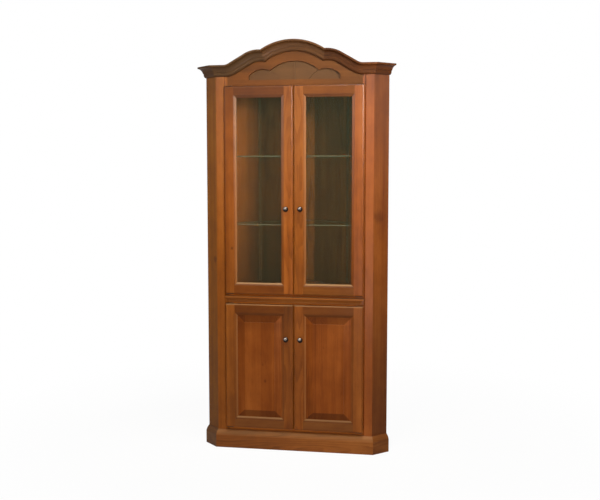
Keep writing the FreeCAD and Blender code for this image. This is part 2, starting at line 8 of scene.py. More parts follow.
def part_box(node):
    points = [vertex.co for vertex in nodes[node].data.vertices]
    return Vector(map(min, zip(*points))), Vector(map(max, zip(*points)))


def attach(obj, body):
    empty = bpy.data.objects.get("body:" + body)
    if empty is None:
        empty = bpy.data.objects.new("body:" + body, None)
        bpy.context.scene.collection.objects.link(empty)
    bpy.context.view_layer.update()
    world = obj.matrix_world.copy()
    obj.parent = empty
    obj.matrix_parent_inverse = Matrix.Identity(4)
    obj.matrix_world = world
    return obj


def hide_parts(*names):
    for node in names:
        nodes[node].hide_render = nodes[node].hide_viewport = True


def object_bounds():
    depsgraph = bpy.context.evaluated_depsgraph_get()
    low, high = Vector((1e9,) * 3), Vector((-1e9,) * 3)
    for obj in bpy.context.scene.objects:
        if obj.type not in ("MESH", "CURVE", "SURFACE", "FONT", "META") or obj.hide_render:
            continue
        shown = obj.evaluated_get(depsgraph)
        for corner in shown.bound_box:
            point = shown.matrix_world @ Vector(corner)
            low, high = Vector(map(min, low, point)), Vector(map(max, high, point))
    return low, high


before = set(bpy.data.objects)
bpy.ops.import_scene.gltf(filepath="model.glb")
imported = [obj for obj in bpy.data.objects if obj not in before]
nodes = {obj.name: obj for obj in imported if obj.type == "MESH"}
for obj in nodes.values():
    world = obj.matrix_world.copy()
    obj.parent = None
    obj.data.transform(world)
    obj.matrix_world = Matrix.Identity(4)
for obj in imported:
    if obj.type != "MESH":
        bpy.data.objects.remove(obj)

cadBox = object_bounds()
sides = {"left": -1, "right": 1}    # sign of x
levels = ("upper", "lower")
white = (255, 255, 255)
print("frame loaded:", len(nodes), "nodes")


def linear(red, green, blue):
    # colours are written as they look, 0 to 255
    shares = [value / 255 for value in (red, green, blue)]
    return [v / 12.92 if v <= 0.04045 else ((v + 0.055) / 1.055) ** 2.4 for v in shares]


def colour(red, green, blue):
    return linear(red, green, blue) + [1.0]


class Wire:
    # a shader socket that takes part in Python sums
    def __init__(self, tree, socket=None):
        self.tree = tree
        self.socket = socket

    def make(self, kind, settings=None, values=None, out=0):
        node = self.tree.nodes.new(kind)
        for name, value in (settings or {}).items():
            if name == "stops":
                self.fillRamp(node.color_ramp, value)
            else:
                setattr(node, name, value)
        for name, value in (values or {}).items():
            if isinstance(value, Wire):
                self.tree.links.new(value.socket, node.inputs[name])
            else:
                node.inputs[name].default_value = value
        return Wire(self.tree, node.outputs[out] if node.outputs else None)

    def fillRamp(self, ramp, stops):
        while len(ramp.elements) < len(stops):
            ramp.elements.new(1.0)
        for element, (place, tint) in zip(ramp.elements, stops):
            element.position = place
            element.color = tint

    def maths(self, operation, first, second=0.0):
        return self.make("ShaderNodeMath", {"operation": operation}, {0: first, 1: second})

    def vector(self, operation, first, second=(0, 0, 0), out=0):
        return self.make("ShaderNodeVectorMath", {"operation": operation}, {0: first, 1: second}, out)

    def facing(self, normal, way):
        return self.vector("DOT_PRODUCT", normal, way, out="Value")

    def length(self, place):
        return self.vector("LENGTH", place, out="Value")

    def part(self, place, axis):
        return self.make("ShaderNodeSeparateXYZ", {}, {0: place}, out=axis)

    def span(self, value, start, end, low=0.0, high=1.0, kind="LINEAR"):
        return self.make("ShaderNodeMapRange", {"interpolation_type": kind}, {
            "Value": value, "From Min": start, "From Max": end, "To Min": low, "To Max": high})

    def blend(self, share, first, second, mode="MIX"):
        settings = {"data_type": "RGBA", "blend_type": mode}
        return self.make("ShaderNodeMix", settings, {0: share, 6: first, 7: second}, out=2)

    def __add__(self, other):
        return self.maths("ADD", self, other)

    def __sub__(self, other):
        return self.maths("SUBTRACT", self, other)

    def __rsub__(self, other):
        return self.maths("SUBTRACT", other, self)

    def __mul__(self, other):
        return self.maths("MULTIPLY", self, other)

    def __truediv__(self, other):
        return self.maths("DIVIDE", self, other)

    def __pow__(self, other):
        return self.maths("POWER", self, other)

    __radd__ = __add__
    __rmul__ = __mul__


def newMaterial(name):
    material = bpy.data.materials.new(name)
    material.use_nodes = True
    tree = material.node_tree
    tree.nodes.clear()
    return material, Wire(tree)


def finishMaterial(wire, shader):
    wire.make("ShaderNodeOutputMaterial", {}, {"Surface": shader})


def objectPlace(wire):
    return wire.make("ShaderNodeTexCoord", out="Object")


def objectNormal(wire):
    return wire.make("ShaderNodeTexCoord", out="Normal")


def wear(node, material):
    mesh = nodes[node].data
    mesh.materials.clear()
    mesh.materials.append(material)


# Stained wood: cathedral rings, long streaks, fine pores and glued boards
stain = {
    "deep": (92, 45, 11),
    "middle": (150, 81, 25),
    "pale": (188, 113, 46),
    "pore": (70, 33, 12),
    "dustAndShade": (96, 84, 58),
    # painted highlight: pale cream standing in for lamp glints on edges turned to the lamps
    "rubbed": (174, 140, 99),
    "ramp": {"deep": 0.18, "middle": 0.52, "pale": 0.86},    # where each shade lies in the figure
    "poreShare": 0.45,
    "outside": 0.7,                 # tone of the backs' outsides
    "outsideTurn": (0.5, 0.8),      # how far a face looks outwards to get it
    "paintedTurn": (0.14, 0.37),        # how far an edge looks its way to get its painted light
    "roughness": 0.46,
    "streakRoughness": 0.14,
    "poreRoughness": 0.1,
    "shine": 0.06,
    "varnishRoughness": 0.2,
    "varnishLow": 0.3,              # share of the varnish left near the floor
    "varnishHigh": 3.1,             # and under the crown, where nobody touches it
    "handled": 1.0,                 # height up to which it wears
}
figure = {
    "ringSpacing": 0.0042,
    "pithDepth": 0.085,
    "sway": 0.064,
    "jitter": 0.9,                  # in rings
    "drift": 7.0,
    "lateWood": (0.35, 0.95),       # dark part of each ring
    "poreLevels": (0.58, 0.7),
    "weights": {"streak": 0.48, "broad": 0.64, "mottle": 0.34, "late": 0.24, "board": 0.16},
    "relief": 0.12,
    "reliefDepth": 0.0006,
    "ringRelief": 0.35,
    "letterStart": 3,               # each piece's name gives it wood of its own
    "boardSorts": 17,
    "shifts": ((0.137, 3.1, 0.0), (0.071, 0.06, 0.03), (0.053, 0.08, 0.04)),    # step, range, middle
}
grainNoises = {                     # waves per metre along and across the grain, detail, roughness
    "sway": (0.9, 4.0, 2.0, 0.5),
    "jitter": (3.0, 60.0, 2.0, 0.5),
    "drift": (0.5, 9.0, 2.0, 0.5),
    "late": (0.7, 34.0, 2.0, 0.5),
    "streak": (0.55, 26.0, 3.0, 0.6),
    "broad": (0.8, 6.0, 2.0, 0.5),
    "mottle": (7.0, 11.0, 3.0, 0.6),
    "pore": (16.0, 900.0, 2.0, 0.7),
}
knotShape = {"core": 0.2, "slim": 0.7, "ragged": 1.6}
half = math.sqrt(0.5)
grains = {
    "up": {"turn": (0, math.radians(90), 0), "axis": (0, 0, 1)},
    "across": {"turn": (0, 0, 0), "axis": (1, 0, 0)},
    "left": {"turn": (0, 0, math.radians(45)), "axis": (half, -half, 0)},
    "right": {"turn": (0, 0, math.radians(-45)), "axis": (half, half, 0)},
}
plainBoard = {
    "boards": None,                 # width of the glued boards
    "tone": 1.0,
    "dye": (1.0, 1.0, 1.0),         # red, green and blue shares of the stain
    "wash": 0.0,                    # share of grey: dust, and on the frieze, recess and crown part of their painted shade
    "varnish": 0.25,
    "ends": (0.25, 0.9, 0.4),       # end grain: first and full slope, darkness
    "fades": (),                    # tone ramped along an axis, mostly painted light and shade: axis, start, end and share left at the end
    "outer": None,                  # way that the plain outside of a back faces
    "knots": (),                    # shares across and up the piece, radius, darkness
    "paintedEdges": (),                     # way that an edge with painted light faces, its colour, its share, its line
}


def dyed(tint, dye):
    return [part * share for part, share in zip(linear(*tint), dye)] + [1.0]


def woodFigure(wire, place, grain, board, seed):
    shift = [(seed * step) % reach - middle for step, reach, middle in figure["shifts"]]
    values = {"Vector": place, "Rotation": grains[grain]["turn"], "Location": shift}
    laid = wire.make("ShaderNodeMapping", {}, values)    # x now runs along the grain, z across it

    def noise(kind):
        along, aside, detail, rough = grainNoises[kind]
        stretched = wire.vector("MULTIPLY", laid, (along, aside, aside))
        return wire.make("ShaderNodeTexNoise", {}, {
            "Vector": stretched, "Scale": 1.0, "Detail": detail, "Roughness": rough})

    # rings round a pith behind the board, swaying along its length
    across = wire.part(laid, "Z")
    fromPith = wire.part(laid, "Y") + (noise("sway") - 0.5) * figure["sway"] + figure["pithDepth"]
    radius = (fromPith ** 2.0 + across ** 2.0) ** 0.5
    uneven = noise("jitter") * figure["jitter"] + noise("drift") * figure["drift"]
    ring = wire.maths("FRACT", radius * (1 / figure["ringSpacing"]) + uneven)
    late = wire.span(ring, *figure["lateWood"], kind="SMOOTHSTEP")

    # slow streaks and blotches of stain, then short dark pores
    weights = figure["weights"]
    streak = noise("streak")
    mottle = noise("mottle")
    pore = wire.span(noise("pore"), *figure["poreLevels"])
    shade = streak * weights["streak"] + noise("broad") * weights["broad"]
    shade = shade + (mottle - 0.5) * weights["mottle"] - late * noise("late") * weights["late"]
    if board["boards"]:
        count = wire.maths("FLOOR", across / board["boards"]) + seed % figure["boardSorts"]
        pick = wire.make("ShaderNodeTexWhiteNoise", {"noise_dimensions": "1D"}, {"W": count})
        shade = shade + (pick - 0.5) * weights["board"]
    stops = [(spot, dyed(stain[name], board["dye"])) for name, spot in stain["ramp"].items()]
    body = wire.make("ShaderNodeValToRGB", {"stops": stops}, {"Fac": shade})
    body = wire.blend(pore * stain["poreShare"], body, colour(*stain["pore"]))
    return body, {"late": late, "streak": streak, "mottle": mottle, "pore": pore}


def knotted(wire, body, place, mottle, piece, knots):
    low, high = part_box(piece)
    for acrossShare, upShare, size, dark in knots:
        middle = (low[0] + acrossShare * (high[0] - low[0]), 0.0, low[2] + upShare * (high[2] - low[2]))
        aside = wire.vector("SUBTRACT", place, middle)
        spread = wire.vector("MULTIPLY", aside, (1 / size, 0.0, knotShape["slim"] / size))
        away = wire.length(spread) + (mottle - 0.5) * knotShape["ragged"]
        knot = wire.span(away, knotShape["core"], 1.0, dark, 0.0, kind="SMOOTHSTEP")
        body = wire.blend(knot, body, colour(*stain["pore"]))
    return body


def boardTone(wire, place, normal, grain, board):
    # cut ends and slopes across the grain drink more stain
    first, full, dark = board["ends"]
    slope = wire.maths("ABSOLUTE", wire.facing(normal, grains[grain]["axis"]))
    tone = wire.span(slope, first, full, board["tone"], board["tone"] * (1 - dark))
    # fades paint light and shade as tone ramps along an axis
    for axis, near, far, left in board["fades"]:
        tone = tone * wire.span(wire.part(place, axis), near, far, 1.0, left)
    if board["outer"]:
        outside = wire.span(wire.facing(normal, board["outer"]), *stain["outsideTurn"])
        tone = tone + (stain["outside"] - tone) * outside
    return wire.make("ShaderNodeCombineColor", {}, {0: tone, 1: tone, 2: tone})


# Painted light on edges: highlights where they face the lamps, shade where they turn away, darker fronts
# behind a line
def paintedEdgeLight(wire, body, place, normal, paintedEdges):
    for way, shade, share, line in paintedEdges:
        rub = wire.span(wire.facing(normal, way), *stain["paintedTurn"])
        if line:
            near = wire.span(wire.part(place, "Y"), doorFront + line["first"], doorFront + line["full"])
            body = wire.blend(rub * (1 - near) * line["dark"], body, colour(*stain["pore"]))
            rub = rub * near
        body = wire.blend(rub * share, body, colour(*stain[shade]))
    return body


def stainedWood(piece, grain, **given):
    board = {**plainBoard, **given}
    name = "wood_" + piece
    seed = sum(weight * ord(letter) for weight, letter in enumerate(name, figure["letterStart"]))
    material, wire = newMaterial(name)
    place = objectPlace(wire)
    normal = objectNormal(wire)
    body, marks = woodFigure(wire, place, grain, board, seed)
    body = knotted(wire, body, place, marks["mottle"], piece, board["knots"])
    body = wire.blend(1.0, body, boardTone(wire, place, normal, grain, board), "MULTIPLY")
    if board["wash"]:
        body = wire.blend(board["wash"], body, colour(*stain["dustAndShade"]))
    body = paintedEdgeLight(wire, body, place, normal, board["paintedEdges"])

    # varnish wears thin where the cabinet is handled and cleaned
    low = board["varnish"] * stain["varnishLow"]
    high = board["varnish"] * stain["varnishHigh"]
    varnish = wire.span(wire.part(place, "Z"), stain["handled"], cadBox[1][2], low, high, kind="SMOOTHSTEP")
    roughness = (marks["streak"] - 0.5) * stain["streakRoughness"] + stain["roughness"]
    roughness = roughness + marks["pore"] * stain["poreRoughness"]
    bump = wire.make("ShaderNodeBump", {}, {
        "Strength": figure["relief"], "Distance": figure["reliefDepth"],
        "Height": marks["late"] * figure["ringRelief"] - marks["pore"]})
    shader = wire.make("ShaderNodeBsdfPrincipled", {}, {
        "Base Color": body, "Roughness": roughness, "Normal": bump, "Specular IOR Level": stain["shine"],
        "Coat Weight": varnish, "Coat Roughness": stain["varnishRoughness"]})
    finishMaterial(wire, shader)
    return material


# What each board of the carcase looks like; tones, dyes and fades paint much of the studio light and shade
# dyes that paint light: pinkish and sandy the key lamp's sheen on the right, golden the yellow light on the
# left return, rosy the lit left back panel
pinkish = (1.0, 0.96, 1.1)
yellowish = (1.0, 1.05, 0.9)
golden = (1.0, 1.17, 0.4)
reddish = (1.0, 0.92, 0.95)
rosy = (1.0, 0.95, 1.3)
sandy = (1.0, 1.05, 1.05)
# ways towards the lamps, up and right, and away from them, for the painted edge light and shade
upAndRight = (0.45, 0.0, 0.75)
upward = (0.0, 0.0, 0.75)
rightward = (0.75, 0.0, 0.0)
leftward = (-0.75, 0.0, 0.0)
woodPieces = {
    # painted light and shade: the right stile lighter and pinker, both stiles darker towards the bottom
    "left_stile": {"grain": "up", "tone": 1.04, "dye": yellowish, "varnish": 0.32,
                   "fades": (("Z", 1.8, 0.9, 0.78),)},
    "right_stile": {"grain": "up", "tone": 1.22, "dye": pinkish, "varnish": 0.45,
                    "fades": (("Z", 1.9, 1.3, 0.78),)},
    # painted shade: the right return darker, both returns darker towards the bottom, the left one golden
    # with the light from the left
    "left_side_panel": {"grain": "up", "boards": 0.09, "tone": 0.97, "dye": golden, "varnish": 0.03,
                        "knots": ((0.72, 0.5, 0.018, 0.5),), "fades": (("Z", 1.0, 0.2, 0.58),)},
    "right_side_panel": {"grain": "up", "boards": 0.09, "tone": 0.7, "dye": pinkish,
                         "knots": ((0.35, 0.615, 0.03, 0.42),), "fades": (("Z", 0.9, 0.3, 0.64),)},
    # painted light and shade: the left back panel lit and rose, a painted shadow of the meeting stiles
    # across it, lighter near the corner, darker low down; the right back panel in shade
    "left_back_panel": {"grain": "up", "boards": 0.11, "tone": 1.34, "dye": rosy, "varnish": 0.0,
                        "fades": (("X", -0.36, -0.24, 0.32), ("X", -0.2, -0.05, 1.45),
                                  ("Z", 1.5, 1.0, 0.5)),
                        "outer": (-half, half, 0)},
    "right_back_panel": {"grain": "up", "boards": 0.11, "tone": 0.52, "varnish": 0.0,
                         "outer": (half, half, 0)},
    "back_corner_strip": {"grain": "up", "tone": 0.9, "varnish": 0.0},
    # painted light: the middle and bottom rails lighter where they show in the shaded gaps
    "middle_rail": {"grain": "across", "tone": 1.25},
    "bottom_rail": {"grain": "across", "tone": 1.25},
    # painted shade: the frieze darker and greyer under the crown and towards its right end, the recess
    # panel darker and greyer still
    "frieze_board": {"grain": "across", "tone": 0.84, "wash": 0.22, "varnish": 0.1,
                     "fades": (("X", -0.3, 0.35, 0.6),)},
    "frieze_panel": {"grain": "across", "tone": 0.62, "wash": 0.5, "varnish": 0.14},
    "bottom_deck": {"grain": "across", "tone": 0.8},
    "middle_deck": {"grain": "across", "tone": 0.6, "varnish": 0.0},
    "top_panel": {"grain": "across", "tone": 0.8},
    "cupboard_shelf": {"grain": "across", "tone": 0.8},
    # painted shade: the crown and its returns dark and grey, the right arch lighter towards its right end
    "crown_middle_arch": {"grain": "across", "tone": 0.46, "wash": 0.3, "varnish": 0.09},
    "crown_left_arch": {"grain": "across", "tone": 0.3, "wash": 0.36, "varnish": 0.07},
    "crown_right_arch": {"grain": "across", "tone": 0.26, "dye": reddish, "wash": 0.1, "varnish": 0.07,
                         "fades": (("X", 0.22, 0.42, 1.9),)},
    "crown_left_return": {"grain": "left", "tone": 0.34, "wash": 0.3, "varnish": 0.0},
    "crown_right_return": {"grain": "right", "tone": 0.34, "dye": reddish, "wash": 0.05, "varnish": 0.05},
    # painted highlight on the waist and base edges turned up and right
    "waist_moulding": {"grain": "across", "tone": 0.95, "wash": 0.16,
                       "paintedEdges": ((upAndRight, "rubbed", 0.35, None),)},
    "base_front": {"grain": "across", "tone": 0.86, "wash": 0.17,
                   "paintedEdges": ((upAndRight, "rubbed", 0.22, None),)},
    # painted shade: the base returns darker, the left one most
    "base_left_return": {"grain": "left", "tone": 0.36, "wash": 0.25, "varnish": 0.1},
    "base_right_return": {"grain": "right", "tone": 0.64, "wash": 0.1},
}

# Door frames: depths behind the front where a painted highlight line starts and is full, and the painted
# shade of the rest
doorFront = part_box("left_upper_door_meeting_stile")[0][1]
bevelLine = {"first": 0.004, "full": 0.0065, "dark": 0.5}
shadyLine = {"first": 0.004, "full": 0.0065, "dark": 0.35}
frontLine = {"first": 0.0055, "full": 0.003, "dark": 0.15}
# painted light in the door gaps: the faces behind the rounded edges made paler
gapLine = {"first": 0.003, "full": 0.0065, "dark": 0.2}
gapLightShare = 0.85
lowDust = {"hinge_stile": 0.07, "meeting_stile": 0.05, "top_rail": 0.0, "bottom_rail": 0.14}
doors = {    # top: colour, share and line of the top edges, painted shade on the upper doors and a painted highlight on the lower; shade: share of painted shade on the stile turned from the light
    # painted shade: the top rails darker, under the crown and the waist
    "left_upper_door": {
        "tones": {"hinge_stile": 0.85, "meeting_stile": 0.9, "top_rail": 0.45, "bottom_rail": 0.55},
        "rub": 0.56, "top": ("pore", 0.6, None), "shadyStile": "meeting_stile", "shade": 0.4},
    "right_upper_door": {
        "tones": {"hinge_stile": 1.0, "meeting_stile": 0.82, "top_rail": 0.62, "bottom_rail": 0.53},
        "rub": 0.5, "top": ("pore", 0.45, None), "shadyStile": "hinge_stile", "shade": 0.4},
    "left_lower_door": {
        "tones": {"hinge_stile": 0.95, "meeting_stile": 0.7, "top_rail": 0.42, "bottom_rail": 0.54},
        "rub": 0.4, "top": ("rubbed", 0.4, frontLine), "shadyStile": "meeting_stile", "shade": 0.2},
    "right_lower_door": {
        "tones": {"hinge_stile": 0.86, "meeting_stile": 0.8, "top_rail": 0.42, "bottom_rail": 0.54},
        "rub": 0.34, "top": ("rubbed", 0.34, frontLine), "shadyStile": "hinge_stile", "shade": 0.35},
}
# painted light and shade: the left upper door darker under the crown and lower down, the right upper door
# pinker and sandier with the key lamp's sheen; the left lower meeting stile is darker towards the top
doorMarks = {
    "left_upper_door_hinge_stile": {"fades": (("Z", 1.7, 1.9, 0.7), ("Z", 1.3, 0.95, 0.76)),
                                    "knots": ((0.6, 0.222, 0.009, 0.7),), "varnish": 0.17},
    "left_upper_door_meeting_stile": {"fades": (("Z", 1.2, 1.7, 0.76),)},
    "left_upper_door_top_rail": {"varnish": 0.2},
    "right_upper_door_hinge_stile": {"dye": pinkish, "varnish": 0.36},
    "right_upper_door_meeting_stile": {"dye": sandy},
    "right_upper_door_top_rail": {"dye": yellowish, "varnish": 0.2},
    "right_upper_door_bottom_rail": {"dye": yellowish},
    "left_lower_door_hinge_stile": {"dye": yellowish},
    "left_lower_door_meeting_stile": {"fades": (("Z", 0.58, 0.74, 0.62),)},
}


# painted highlights on the bevels, painted shade on the upper doors' top edges and on the stile turned from
# the light, painted light in the gaps
def frameEdgeLight(look, part):
    bevel = ((upAndRight, "rubbed", look["rub"], bevelLine),)
    top = ((upward, *look["top"]),)
    if part == "bottom_rail":
        return bevel
    if part == "top_rail":
        return top
    if part == look["shadyStile"]:
        return ((rightward, "pale", gapLightShare, gapLine), (leftward, "deep", look["shade"], shadyLine)) + top
    return bevel + top


def frameBoard(door, part):
    look = doors[door]
    board = {"grain": "across" if part.endswith("rail") else "up", "tone": look["tones"][part]}
    board["paintedEdges"] = frameEdgeLight(look, part)
    if "lower" in door:
        board["wash"] = lowDust[part]
    return board


for door, look in doors.items():
    for part in look["tones"]:
        piece = door + "_" + part
        woodPieces[piece] = {**frameBoard(door, part), **doorMarks.get(piece, {})}

# Raised panels: glued boards, bevels dark across the grain, a painted highlight on the step and bevels
# turned up and right
raisedPanel = {"grain": "up", "boards": 0.085, "dye": reddish, "ends": (0.05, 0.12, 0.42), "varnish": 0.1,
               "paintedEdges": ((upAndRight, "rubbed", 0.4, None),)}
# painted light and shade near the top of each raised panel: darker up to one height, lighter above it
panelMarks = {
    "left": {"tone": 0.69, "fades": (("Z", 0.62, 0.672, 0.82), ("Z", 0.672, 0.69, 1.3)),
             "knots": ((0.62, 0.363, 0.01, 0.55), (0.57, 0.52, 0.007, 0.4))},
    "right": {"tone": 0.78, "fades": (("Z", 0.64, 0.672, 0.9), ("Z", 0.672, 0.68, 1.2)),
              "knots": ((0.4, 0.7, 0.006, 0.3),)},
}
for side in sides:
    woodPieces[side + "_lower_door_raised_panel"] = {**raisedPanel, **panelMarks[side]}
    woodPieces[side + "_upper_door_glass_stops"] = {"grain": "up"}

for piece, board in woodPieces.items():
    wear(piece, stainedWood(piece, **board))
print("wood:", len(woodPieces), "pieces")

# Clear panes of the doors: light passes, sight gets a faint haze and a glint at low angles
pane = {"haze": (186, 212, 170), "hazeShare": 0.0185, "hazeRoughness": 0.2, "clear": (244, 248, 246),
        "glintShare": 0.5, "glintPower": 4.0, "glintRoughness": 0.03}


def clearPane():
    material, wire = newMaterial("door_glass")
    haze = wire.make("ShaderNodeBsdfPrincipled", {}, {
        "Base Color": colour(*pane["haze"]), "Roughness": pane["hazeRoughness"],
        "Specular IOR Level": 0.0, "Alpha": pane["hazeShare"]})
    glint = wire.make("ShaderNodeBsdfAnisotropic", {}, {
        "Color": colour(*white), "Roughness": pane["glintRoughness"]})
    lowAngle = wire.make("ShaderNodeLayerWeight", out="Facing")
    shine = lowAngle ** pane["glintPower"] * pane["glintShare"]
    sight = wire.make("ShaderNodeMixShader", {}, {0: shine, 1: haze, 2: glint})
    through = wire.make("ShaderNodeBsdfTransparent", {}, {"Color": colour(*pane["clear"])})
    shadowRay = wire.make("ShaderNodeLightPath", out="Is Shadow Ray")
    diffuseRay = wire.make("ShaderNodeLightPath", out="Is Diffuse Ray")
    passing = wire.maths("MAXIMUM", shadowRay, diffuseRay)
    finishMaterial(wire, wire.make("ShaderNodeMixShader", {}, {0: passing, 1: sight, 2: through}))
    return material


# Glass shelves: nearly clear faces, olive edges
shelfGlass = {"edge": (120, 116, 84), "faceAlpha": 0.03, "edgeAlpha": 0.45, "roughness": 0.08}


def edgedGlass():
    material, wire = newMaterial("shelf_glass")
    normal = wire.make("ShaderNodeNewGeometry", out="Normal")
    edge = 1 - wire.maths("ABSOLUTE", wire.part(normal, "Z"))
    alpha = edge * (shelfGlass["edgeAlpha"] - shelfGlass["faceAlpha"]) + shelfGlass["faceAlpha"]
    shader = wire.make("ShaderNodeBsdfPrincipled", {}, {
        "Base Color": colour(*shelfGlass["edge"]), "Roughness": shelfGlass["roughness"], "Alpha": alpha})
    finishMaterial(wire, shader)
    return material


# Turned knobs in dark satin pewter, bright on the front turned up and left, partly wear and partly a
# painted highlight; plain steel nails and screws
pewter = {"dark": (44, 35, 30), "wornAndHighlight": (142, 134, 129), "roughness": 0.25, "rubbed": (-0.25, -0.86, 0.45)}
steel = {"dark": (92, 90, 88), "wornAndHighlight": (128, 126, 124), "roughness": 0.34, "rubbed": None}
satin = {"cloudScale": 420.0, "cloudDetail": 4.0, "spread": 0.18, "ragged": 0.1, "paintedTurn": (0.82, 1.05),
         "relief": 0.08, "reliefDepth": 0.0003}


def satinMetal(name, metal):
    material, wire = newMaterial(name)
    cloud = wire.make("ShaderNodeTexNoise", {}, {
        "Vector": objectPlace(wire), "Scale": satin["cloudScale"], "Detail": satin["cloudDetail"]})
    wornAndHighlight = cloud
    # painted highlight: the part of the knob turned up and left made bright
    if metal["rubbed"]:
        front = wire.facing(objectNormal(wire), metal["rubbed"])
        wornAndHighlight = wire.span(front + cloud * satin["ragged"], *satin["paintedTurn"])
    body = wire.blend(wornAndHighlight, colour(*metal["dark"]), colour(*metal["wornAndHighlight"]))
    roughness = (cloud - 0.5) * satin["spread"] + metal["roughness"]
    bump = wire.make("ShaderNodeBump", {}, {
        "Strength": satin["relief"], "Distance": satin["reliefDepth"], "Height": cloud})
    shader = wire.make("ShaderNodeBsdfPrincipled", {}, {
        "Base Color": body, "Metallic": 1.0, "Roughness": roughness, "Normal": bump})
    finishMaterial(wire, shader)
    return material


# Browned brass of the pivots, and the shelf strips lacquered brown
pivotBrass = {"bright": (122, 78, 42), "dull": (92, 58, 30), "roughness": 0.62, "bare": 0.4, "shine": 0.2}
stripBrass = {"bright": (112, 74, 44), "dull": (86, 56, 32), "roughness": 0.55, "bare": 0.08, "shine": 0.05}
brushing = {"waves": (900.0, 900.0, 30.0), "detail": 3.0, "spread": 0.2}


def brushedBrass(name, brass):
    material, wire = newMaterial(name)
    brushed = wire.vector("MULTIPLY", objectPlace(wire), brushing["waves"])
    lines = wire.make("ShaderNodeTexNoise", {}, {
        "Vector": brushed, "Scale": 1.0, "Detail": brushing["detail"]})
    body = wire.blend(lines, colour(*brass["bright"]), colour(*brass["dull"]))
    roughness = (lines - 0.5) * brushing["spread"] + brass["roughness"]
    shader = wire.make("ShaderNodeBsdfPrincipled", {}, {
        "Base Color": body, "Metallic": brass["bare"], "Roughness": roughness,
        "Specular IOR Level": brass["shine"]})
    finishMaterial(wire, shader)
    return material


doorGlass = clearPane()
shelfPane = edgedGlass()
knobMetal = satinMetal("knob_pewter", pewter)
screwMetal = satinMetal("screw_steel", steel)
pivotMetal = brushedBrass("pivot_brass", pivotBrass)
stripMetal = brushedBrass("strip_brass", stripBrass)
for side in sides:
    wear(side + "_upper_door_glass", doorGlass)
for door in doors:
    wear(door + "_knob", knobMetal)
    wear(door + "_pivot_bushes", pivotMetal)
wear("hinge_brackets", pivotMetal)
wear("shelf_standards", stripMetal)
wear("shelf_supports", stripMetal)
for level in levels:
    wear(level + "_glass_shelf", shelfPane)
print("glass and metal done")


def putObject(name, bm, material):
    mesh = bpy.data.meshes.new(name)
    bm.to_mesh(mesh)
    bm.free()
    mesh.materials.append(material)
    made = bpy.data.objects.new(name, mesh)
    bpy.context.scene.collection.objects.link(made)
    return made


def addPiece(name, bm, material, body):
    piece = putObject(name, bm, material)
    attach(piece, body)
    return piece


# Slotted strips that carry the glass shelves, in the places of the plain ones
slottedStrip = {"slotWidth": 0.005, "slotHeight": 0.012, "pitch": 0.025, "fromEnd": 0.015}


def stripShape(width, height, depth):
    count = int((height - 2 * slottedStrip["fromEnd"]) / slottedStrip["pitch"])
    starts = [slottedStrip["fromEnd"] + number * slottedStrip["pitch"] for number in range(count)]
    slotEdges = [edge for start in starts for edge in (start, start + slottedStrip["slotHeight"])]
    rows = [0.0] + slotEdges + [height]
    slotSide = slottedStrip["slotWidth"] / 2
    columns = [-width / 2, -slotSide, slotSide, width / 2]
    bm = bmesh.new()
    bmesh.ops.create_grid(bm, x_segments=len(columns) - 1, y_segments=len(rows) - 1, size=0.5)
    for vert in bm.verts:
        column = round((vert.co.x + 0.5) * (len(columns) - 1))
        row = round((vert.co.y + 0.5) * (len(rows) - 1))
        vert.co = (columns[column], rows[row], 0.0)
    middles = [face for face in bm.faces if abs(face.calc_center_median().x) < slotSide]
    middles.sort(key=lambda face: face.calc_center_median().y)
    bmesh.ops.delete(bm, geom=middles[1::2], context="FACES")
    bmesh.ops.solidify(bm, geom=bm.faces[:], thickness=depth)
    bmesh.ops.recalc_face_normals(bm, faces=bm.faces[:])
    back = min(vert.co.z for vert in bm.verts)
    bmesh.ops.translate(bm, vec=(0, 0, -back), verts=bm.verts[:])
    return bm


def slottedStrips():
    corners = [vert.co for vert in nodes["shelf_standards"].data.vertices]
    middle = sum(corner.y for corner in corners) / len(corners)
    single = bpy.data.meshes.new("single_strip")
    joined = bmesh.new()
    for sign in sides.values():
        for way in (-1, 1):    # on the back panel, then on the return in front of it
            inward = Vector((-sign, way, 0)).normalized()
            along = Vector((-inward.y, inward.x, 0))
            own = [corner for corner in corners if corner.x * sign > 0 and (corner.y > middle) == (way < 0)]
            wide = [corner.dot(along) for corner in own]
            deep = [corner.dot(inward) for corner in own]
            tall = [corner.z for corner in own]
            bm = stripShape(max(wide) - min(wide), max(tall) - min(tall), max(deep) - min(deep))
            foot = along * ((max(wide) + min(wide)) / 2) + inward * min(deep) + Vector((0, 0, min(tall)))
            turn = Matrix((along, (0, 0, 1), inward)).transposed().to_4x4()
            bmesh.ops.transform(bm, matrix=Matrix.Translation(foot) @ turn, verts=bm.verts[:])
            bm.to_mesh(single)
            bm.free()
            joined.from_mesh(single)
    bpy.data.meshes.remove(single)
    strips = addPiece("slotted_strips", joined, stripMetal, "carcase")
    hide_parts("shelf_standards")
    print("slotted strips:", len(strips.data.polygons), "faces")


slottedStrips()

# Small fasteners: slotted screws in the hinge leaves and behind the knobs, nails down the backs' edges
hingeScrew = {"radius": 0.0026, "height": 0.0003, "slot": 0.0009,
              "fromEdge": (0.013, 0.023), "rise": 0.0035, "gap": 0.0004}
knobScrew = {"radius": 0.0042, "height": 0.0022, "slot": 0.0011}
backNail = {"radius": 0.003, "height": 0.0008, "slot": 0.0,
            "fromEdge": 0.016, "fromEnd": 0.06, "rows": 10, "flush": 0.0001}
headForm = {"sides": 20, "taper": 0.94, "rim": 0.45, "rimSteps": 3,
            "slotInset": 0.1, "slotDepth": 0.5, "level": 0.999}


def topFaces(bm):
    return [face for face in bm.faces if face.normal.z > headForm["level"]]


